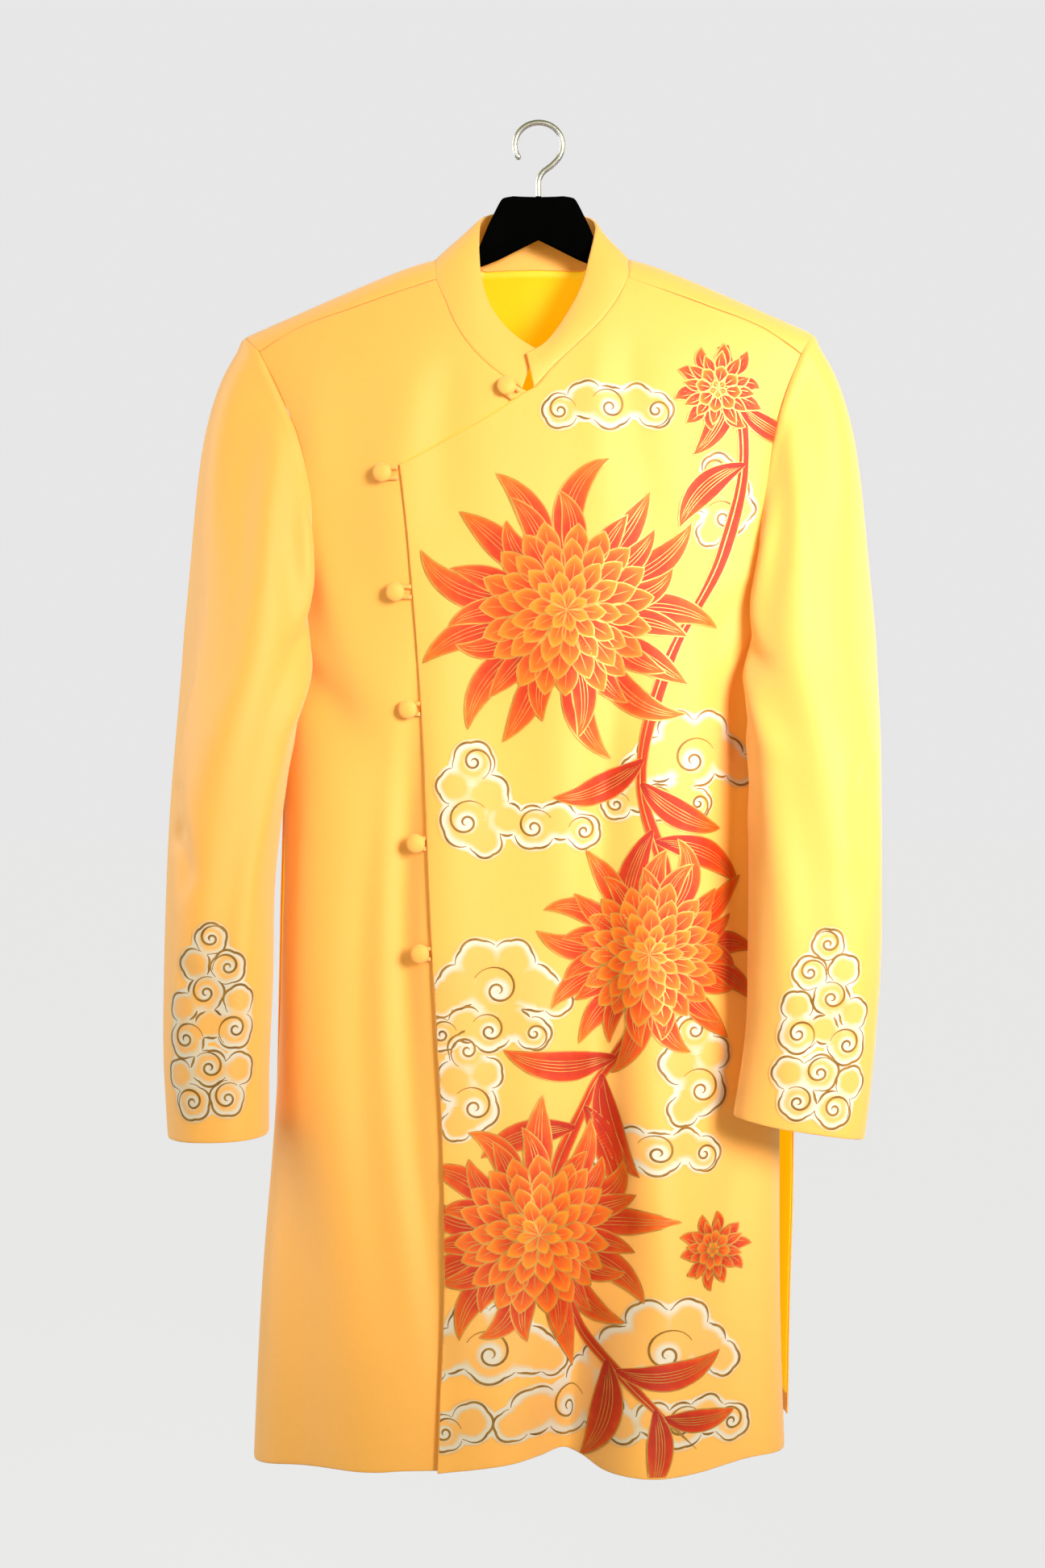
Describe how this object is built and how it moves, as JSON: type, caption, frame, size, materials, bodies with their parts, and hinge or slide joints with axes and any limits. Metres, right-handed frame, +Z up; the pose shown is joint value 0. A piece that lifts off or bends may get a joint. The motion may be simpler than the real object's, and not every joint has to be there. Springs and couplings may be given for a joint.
{
  "type": "ao dai on a suit hanger",
  "caption": "Knee length men's ao dai with stand collar, slanted side opening, covered buttons and side vents, on a suit hanger.",
  "frame": {"origin": "inside top of the hanger's hook, where it hangs on a rail", "axes": "+Z up, the garment's front faces -Y, +X to the wearer's left"},
  "size_m": [0.5667, 0.236, 1.0712],
  "materials": {
    "yellow_cloth": "matt crepe, golden yellow",
    "yellow_satin": "soft satin, bright yellow",
    "black_plastic": "smooth moulded, satin black",
    "hook_steel": "plated wire"
  },
  "bodies": {
    "root": {"front_right": "yellow_cloth", "front_left": "yellow_cloth", "back": "yellow_cloth", "back_lining": "yellow_satin", "sleeve_right": "yellow_cloth", "sleeve_left": "yellow_cloth", "collar": "yellow_cloth", "hanger": "black_plastic", "hanger_hook": "hook_steel", "button_1": "yellow_cloth", "button_2": "yellow_cloth", "button_3": "yellow_cloth", "button_4": "yellow_cloth", "button_5": "yellow_cloth", "button_6": "yellow_cloth", "loop_1": "yellow_cloth", "loop_2": "yellow_cloth", "loop_3": "yellow_cloth", "loop_4": "yellow_cloth", "loop_5": "yellow_cloth", "loop_6": "yellow_cloth"}
  },
  "joints": []
}
